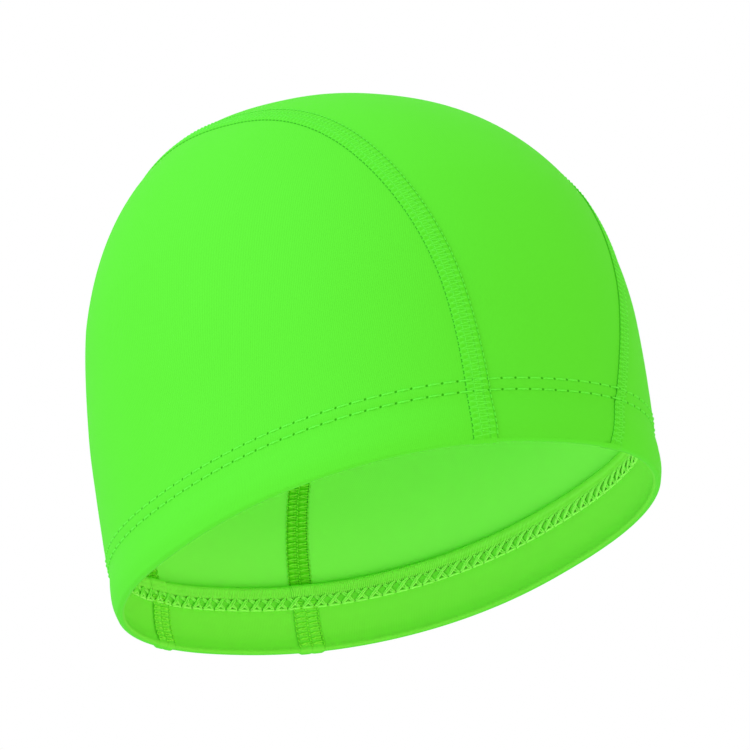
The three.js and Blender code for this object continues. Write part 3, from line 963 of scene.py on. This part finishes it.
def hem_facing():
    """Ring of the facing's outline carried round the rim, pulled in along its stitching, and thicker where
    a seam goes through. There the fold hangs lower, notched at the seam's shadow lines. The face map
    turns to the reverse round the fold, with painted shade on the shadow lines and just inside the fold.
    Gives points, places and face map."""
    depth, height = facing_outline().T
    angle = np.linspace(-np.pi, np.pi, FACING_ANGLES, endpoint=False)[:, None]
    bands, lines = seam_ends(face_at(angle, height))
    foot = smooth_step(height, FOLD_RADIUS, 0)
    lobes = bands * (1 - 0.7 * np.clip(lines, 0, 1))
    face = face_at(angle, height - RIM_BUMP * foot * lobes)
    inner_side = smooth_step(depth, FABRIC, FACING_FRONT)
    bump = SEAM_BUMP * bands
    needle = 0.6 + 0.4 * np.cos(2 * np.pi * hem_places(face)[..., 0])
    groove = STITCH_GROOVE * near_stitch_row(height) * needle
    sway = inner_side * (bump - groove) - (1 - inner_side) * bump
    reverse = np.broadcast_to(smooth_step(depth, FOLD_RADIUS, 1.8 * FOLD_RADIUS), lines.shape)
    # Painted shade on the seams' shadow lines over the facing, and just inside the fold
    shade = SEAM_END_SHADE * lines * reverse * smooth_step(height, HEM_ROWS[0], 0.9 * HEM_ROWS[0])
    turned = smooth_step(depth, 0.9 * FOLD_RADIUS, 1.5 * FOLD_RADIUS)
    shade = np.maximum(shade, RIM_SHADE * turned * smooth_step(height, 2.4 * FOLD_RADIUS, 0))
    return under_face(face, depth + sway), face, np.clip(np.stack([reverse, shade], -1), 0, 1)


points, face, face_map = hem_facing()
rings, outline = points.shape[:2]
index = np.arange(rings * outline).reshape(rings, outline)
next_ring = np.roll(index, -1, axis=0)
corners = [index, np.roll(index, -1, axis=1), np.roll(next_ring, -1, axis=1), next_ring]
squares = np.stack(corners, -1).reshape(-1, 4)
hem_map = hem_places(face)
ribs = hem_map[..., 0] * HEM_STITCH / RIB_PITCH
knit_map = np.stack([ribs, hem_map[..., 1] * HEM_STITCH / LOOP_PITCH], -1)
maps = {"knit": knit_map, "hem_rows": hem_map, "face": face_map}
points = points.reshape(-1, 3)
add_piece("hem_facing_knit", points, squares, maps, hem_knit, "hem_knit", ("hem_facing",))
for name, line in seam_lines.items():
    rungs = np.arange(9) + 0.3
    rungs = np.concatenate([rungs, line.stitches - 1.1 - rungs])[:, None]
    ends = seam_threads_inside(line, rungs, FACING_FRONT + SEAM_BUMP)
    add_threads(name + "_facing_rungs", threads["thread_ladder_lit"], ends)

# Hem stitching outside
# Two rows of needle thread sewn side by side round the hem. Each stitch lies on the cloth and dives
# into a needle hole at both ends.
HEM_THREAD = 0.00030
HEM_THREAD_RISE = 0.0004
HEM_THREAD_SINK = 0.00034


def hem_point(stitch, height):
    """Points of the outer face at stitches round the rim and heights above it, and the outward ways."""
    stitch, height = np.broadcast_arrays(stitch, height)
    face = face_at(np.interp(stitch % STITCH_COUNT, rim_stitches, RIM_ANGLES), height)
    return face, face_normal(face)


def band_lift(face):
    """How far the seams' bands lift a thread that crosses them on the outside."""
    lift = 0
    for line in seam_lines.values():
        across = seam_inset(face, line.side) / FLARED_SEAM
        lift = lift + SEAM_PROUD * smooth_step(across, -0.06, 0.1) * smooth_step(across, 1.06, 0.9)
    return lift


whole = np.arange(STITCH_COUNT)[:, None]
step = np.linspace(0.08, 0.92, 9)
dome = HEM_THREAD_RISE * np.sqrt(np.sin(step * np.pi))
groups = []
for row in HEM_ROWS:
    face, normal = hem_point(whole + step, row)
    lift = cloth_relief(face) + band_lift(face) + dome - HEM_THREAD_SINK
    groups.append((under_face(face, -lift), normal, HEM_THREAD))
add_threads("hem_stitches_outside", threads["thread_outside"], groups)

# Hem stitching inside
# The looper thread of the same stitching crosses between the two rows on the facing and lies in long
# stitches along the lower one. Above it, overlock thread wraps the raw edge.
LOOPER_THREAD = 0.00034
LOOPER_PAIR = 0.0011
LOOPER_ARCH = 0.0005
LOOPER_SINK = 0.0002
OVERLOCK_THREAD = 0.00036
OVERLOCK_PITCH = 0.00068
OVERLOCK_SLANT = 0.22
OVERLOCK_LIFT = 0.0002
OVERLOCK_DROP = 0.0002


def on_facing(stitch, height, lift):
    """Centre points and outward ways of threads on the facing's inner side."""
    face, normal = hem_point(stitch, height)
    return under_face(face, FACING_FRONT + lift + SEAM_BUMP * seam_ends(face)[0]), -normal


low_row, high_row = HEM_ROWS
way = np.linspace(0, 1, 9)
arch = LOOPER_ARCH * np.sqrt(np.sin(way * np.pi)) - LOOPER_SINK
climb = mix(low_row, high_row, smooth_step(way, 0, 1))
fall = mix(high_row, low_row, smooth_step(way, 0, 1))
groups = [(*on_facing(whole + mix(0.04, 0.98, way), low_row - 0.0004, arch), LOOPER_THREAD * 1.15)]
for pair in (-0.5, 0.5):
    beside = pair * LOOPER_PAIR * np.sin(way * np.pi)
    groups.append((*on_facing(whole + mix(0.03, 0.97, way), climb + beside, arch), LOOPER_THREAD))
    groups.append((*on_facing(whole + mix(0.03, 0.97, way), fall + beside, arch + 0.0003), LOOPER_THREAD))
add_threads("hem_looper_threads", threads["thread_inside_lit"], groups)

# Each overlock thread climbs from the upper row to the raw edge's foot, arches over the edge along a
# sine and goes down behind it. A second one lies along the edge's foot.
overlock_count = round(rim_lengths[-1] / OVERLOCK_PITCH)
wrap = np.arange(overlock_count)[:, None] * STITCH_COUNT / overlock_count
climb = np.linspace(0, 1, 8)
edge_foot = HEM_HEIGHT - RAW_EDGE_HEIGHT
edge_lift = RAW_EDGE_THICKNESS - FABRIC
arch = RAW_EDGE_HEIGHT * np.sin(np.clip(climb - 0.15, 0, 1) * 0.7 * np.pi)
height = mix(high_row - OVERLOCK_DROP, edge_foot, smooth_step(climb, 0, 0.3)) + arch
lift = edge_lift * np.sin(np.clip(climb * 1.6, 0, 1) * QUARTER) + OVERLOCK_LIFT
lift = lift - (RAW_EDGE_THICKNESS + OVERLOCK_LIFT) * smooth_step(climb, 0.6, 1.0)
over_edge = on_facing(wrap + OVERLOCK_SLANT * climb, height, lift)
along_foot = on_facing(wrap + OVERLOCK_SLANT * climb, edge_foot - OVERLOCK_DROP, OVERLOCK_LIFT)
groups = [(*over_edge, OVERLOCK_THREAD), (*along_foot, OVERLOCK_THREAD)]
add_threads("hem_overlock_threads", threads["thread_overlock_lit"], groups)

# Floor
# A plain pale floor well below the cap, which is held up as a head holds it.
FLOOR_DROP = 0.55
FLOOR_SIDE = 8
FLOOR_COLOURS = ((0.88, 0.88, 0.88), (0.92, 0.92, 0.92))
bpy.ops.mesh.primitive_plane_add(size=FLOOR_SIDE, location=(0, 0, -FLOOR_DROP))
floor = bpy.context.object
floor.name = "floor"
floor_paint, tree, shader = new_material("floor_paint")
paint = mixed_colour(tree, soft_patches(tree, 2.0), *FLOOR_COLOURS)
tree.links.new(paint, shader.inputs["Base Color"])
shader.inputs["Roughness"].default_value = 0.9
floor.data.materials.append(floor_paint)

# Light
# Even white studio light from all round, and three soft lamps: a broad one high on the left, a weaker
# one on the right of the front, and a small faint one near the cap, low on the left, for its inside.
world = bpy.data.worlds.new("studio")
world.use_nodes = True
world.node_tree.nodes["Background"].inputs["Color"].default_value = (1, 1, 1, 1)
world.node_tree.nodes["Background"].inputs["Strength"].default_value = 1.0
bpy.context.scene.world = world
bpy.context.scene.view_settings.view_transform = "Standard"


def add_lamp(name, azimuth, elevation, distance, size, power, colour):
    """Square soft lamp that faces the cap's middle from an azimuth, counted from the front towards +X,
    and an elevation in degrees. Its distance and size are in metres, its power in watts."""
    lamp = bpy.data.lights.new(name, "AREA")
    lamp.color = colour
    lamp.size = size
    lamp.energy = power
    lamp_object = bpy.data.objects.new(name, lamp)
    way = Vector(way_towards(np.radians(azimuth), np.radians(elevation)))
    place = Matrix.Translation(Vector(-HEAD_SEAT) + distance * way)
    lamp_object.matrix_world = place @ way.to_track_quat("Z", "Y").to_matrix().to_4x4()
    bpy.context.scene.collection.objects.link(lamp_object)


add_lamp("key_lamp", -95, 42, 1.8, 1.5, 17.0, (0.85, 1.0, 3.0))
add_lamp("mouth_lamp", -62, -38, 0.5, 0.3, 0.22, (0.95, 1.0, 0.95))
add_lamp("fill_lamp", 28, 8, 1.8, 1.5, 4.5, (1.35, 1.0, 1.0))

# Camera
# The photograph's view: from the left of the front and a little below the cap, with a long lens. The
# cap's middle lies beside the picture's middle, at named pixels of its 750.
CAMERA_AZIMUTH = np.radians(-36.36)
CAMERA_ELEVATION = np.radians(-6.49)
CAMERA_ROLL = np.radians(-1.57)
CAMERA_DISTANCE = 2.180
PIXELS_PER_METRE = 3060.0
PICTURE_SIDE = 750
CAP_MIDDLE_PIXEL = (358.9, 427.7)
SENSOR = 36.0

toward = way_towards(CAMERA_AZIMUTH, CAMERA_ELEVATION)
level_right = np.array([np.cos(CAMERA_AZIMUTH), np.sin(CAMERA_AZIMUTH), 0.0])
level_up = np.cross(toward, level_right)
right = np.cos(CAMERA_ROLL) * level_right + np.sin(CAMERA_ROLL) * level_up
up = -np.sin(CAMERA_ROLL) * level_right + np.cos(CAMERA_ROLL) * level_up
off_right = (PICTURE_SIDE / 2 - CAP_MIDDLE_PIXEL[0]) / PIXELS_PER_METRE
off_up = (CAP_MIDDLE_PIXEL[1] - PICTURE_SIDE / 2) / PIXELS_PER_METRE
stand = -HEAD_SEAT + toward * CAMERA_DISTANCE
aim = -HEAD_SEAT + right * off_right + up * off_up
back_axis = unit(stand - aim)
side_axis = unit(np.cross(up, back_axis))
top_axis = np.cross(back_axis, side_axis)

camera_data = bpy.data.cameras.new("camera")
camera_data.sensor_width = SENSOR
camera_data.lens = PIXELS_PER_METRE * CAMERA_DISTANCE * SENSOR / PICTURE_SIDE
camera_data.clip_end = 20
camera = bpy.data.objects.new("camera", camera_data)
turned = Matrix(np.stack([side_axis, top_axis, back_axis], -1).tolist()).to_4x4()
camera.matrix_world = Matrix.Translation(stand.tolist()) @ turned
bpy.context.scene.collection.objects.link(camera)
bpy.context.scene.camera = camera
